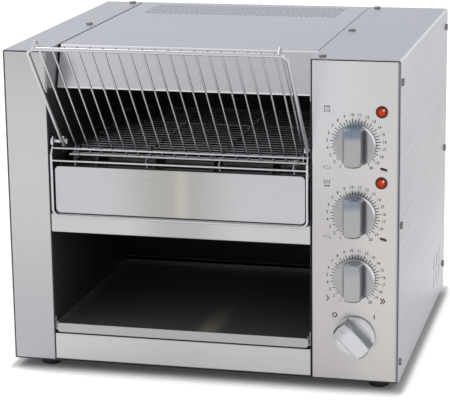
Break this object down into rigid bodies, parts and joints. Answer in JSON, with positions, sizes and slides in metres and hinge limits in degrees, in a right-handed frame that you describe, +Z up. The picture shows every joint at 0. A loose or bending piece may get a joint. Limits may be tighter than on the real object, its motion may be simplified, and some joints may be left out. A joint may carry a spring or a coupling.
{
  "type": "conveyor toaster",
  "caption": "Counter-top conveyor toaster with a sloping wire loading rack, a wire belt through a heated tunnel, a landing tray below and a side panel of dials.",
  "frame": {"origin": "centre of the overall box in plan, on the surface that the feet stand on", "axes": "+X to the right seen from the front, +Y from the front to the back, +Z up"},
  "size_m": [0.4698, 0.535, 0.4141],
  "materials": {
    "cover_steel": "brushed stainless steel",
    "facia_steel": "brushed stainless steel",
    "panel_steel": "brushed stainless steel with printed scales",
    "top_steel": "brushed stainless steel",
    "guard_steel": "brushed stainless steel",
    "oven_steel": "stainless steel, blackened inside by heat",
    "black_steel": "matt black heat-proof paint",
    "tray_steel": "brushed stainless steel",
    "plated_steel": "plain plated sheet",
    "rack_wire": "chromed round wire",
    "pin_steel": "plated steel",
    "belt_wire": "heat-tinted stainless wire",
    "shaft_steel": "ground steel",
    "sprocket_steel": "plain steel",
    "chain_steel": "oiled steel",
    "bronze": "sintered bronze",
    "gearbox_metal": "grey die-cast housing",
    "motor_metal": "dark enamel",
    "quartz": "satin quartz tube",
    "holder_ceramic": "unglazed ceramic",
    "regulator_plastic": "moulded phenolic",
    "switch_plastic": "moulded black plastic",
    "knob_plastic": "satin blue-grey plastic",
    "switch_knob_plastic": "satin silver-grey plastic",
    "bezel_plastic": "black plastic",
    "lens_plastic": "clear amber plastic",
    "terminal_plastic": "white plastic",
    "gland_plastic": "black plastic",
    "foot_rubber": "black rubber",
    "screw_steel": "plain steel"
  },
  "bodies": {
    "casing": {"base_pan": "black_steel", "left_oven_wall": "oven_steel", "right_oven_wall": "oven_steel", "left_cover": "cover_steel", "right_cover": "cover_steel", "left_facia": "facia_steel", "control_panel": "panel_steel", "top_panel": "top_steel", "back_panel": "cover_steel", "lintel": "facia_steel", "apron": "facia_steel", "inner_panel": "guard_steel", "belt_shield": "black_steel", "return_chute": "black_steel", "upper_reflector": "plated_steel", "tray_runners": "plated_steel", "rack_pins": "pin_steel", "conveyor_belt": "belt_wire", "belt_rails": "plated_steel", "shaft_bushes": "bronze", "drive_chain": "chain_steel", "gearbox": "gearbox_metal", "motor": "motor_metal", "motor_spacers": "plated_steel", "upper_elements": "quartz", "lower_elements": "quartz", "element_holders": "holder_ceramic", "heat_regulators": "regulator_plastic", "speed_control": "switch_plastic", "main_switch": "switch_plastic", "lamp_bezels": "bezel_plastic", "lamp_lenses": "lens_plastic", "terminal_block": "terminal_plastic", "cord_gland": "gland_plastic", "feet": "foot_rubber", "top_screws": "screw_steel", "side_screws": "screw_steel", "back_screws": "screw_steel"},
    "tray": {"landing_tray": "tray_steel"},
    "rack": {"rack_frame": "rack_wire", "rack_guard": "rack_wire", "rack_fingers": "rack_wire", "rack_guides": "rack_wire"},
    "drive": {"drive_shaft": "shaft_steel", "drive_sprockets": "sprocket_steel", "driven_sprocket": "sprocket_steel"},
    "idler": {"idler_shaft": "shaft_steel", "idler_sprockets": "sprocket_steel"},
    "motor_drive": {"motor_shaft": "shaft_steel", "motor_sprocket": "sprocket_steel"},
    "upper_heat_dial": {"upper_heat_knob": "knob_plastic", "upper_heat_spindle": "shaft_steel"},
    "lower_heat_dial": {"lower_heat_knob": "knob_plastic", "lower_heat_spindle": "shaft_steel"},
    "speed_dial": {"speed_knob": "knob_plastic", "speed_spindle": "shaft_steel"},
    "switch_dial": {"switch_knob": "switch_knob_plastic", "switch_spindle": "shaft_steel"}
  },
  "joints": [
    {"name": "rack_tilt", "type": "hinge", "parent": "casing", "child": "rack", "pos_m": [-0.025, -0.14853, 0.2775], "axis": [-1, 0, 0], "range_deg": [0, 35]},
    {"name": "tray_slide", "type": "slide", "parent": "casing", "child": "tray", "axis": [0, -1, 0], "range_m": [0, 0.22]},
    {"name": "drive_spin", "type": "hinge", "parent": "casing", "child": "drive", "pos_m": [-0.025, 0.14347, 0.2375], "axis": [-1, 0, 0], "continuous": true, "deforming": ["conveyor_belt", "drive_chain"]},
    {"name": "idler_spin", "type": "hinge", "parent": "casing", "child": "idler", "pos_m": [-0.025, -0.11053, 0.2375], "axis": [-1, 0, 0], "continuous": true},
    {"name": "motor_spin", "type": "hinge", "parent": "casing", "child": "motor_drive", "pos_m": [0.177, 0.14347, 0.1486], "axis": [-1, 0, 0], "continuous": true},
    {"name": "upper_heat_turn", "type": "hinge", "parent": "casing", "child": "upper_heat_dial", "pos_m": [0.18125, -0.15553, 0.288], "axis": [0, 1, 0], "range_deg": [-148, 148]},
    {"name": "lower_heat_turn", "type": "hinge", "parent": "casing", "child": "lower_heat_dial", "pos_m": [0.18125, -0.15553, 0.207], "axis": [0, 1, 0], "range_deg": [-148, 148]},
    {"name": "speed_turn", "type": "hinge", "parent": "casing", "child": "speed_dial", "pos_m": [0.18125, -0.15553, 0.132], "axis": [0, 1, 0], "range_deg": [-148, 148]},
    {"name": "switch_turn", "type": "hinge", "parent": "casing", "child": "switch_dial", "pos_m": [0.18125, -0.15553, 0.0637], "axis": [0, 1, 0], "range_deg": [0, 90]}
  ],
  "couplings": [
    {"joint": "idler_spin", "follows": "drive_spin", "ratio": 1},
    {"joint": "motor_spin", "follows": "drive_spin", "ratio": 1}
  ]
}
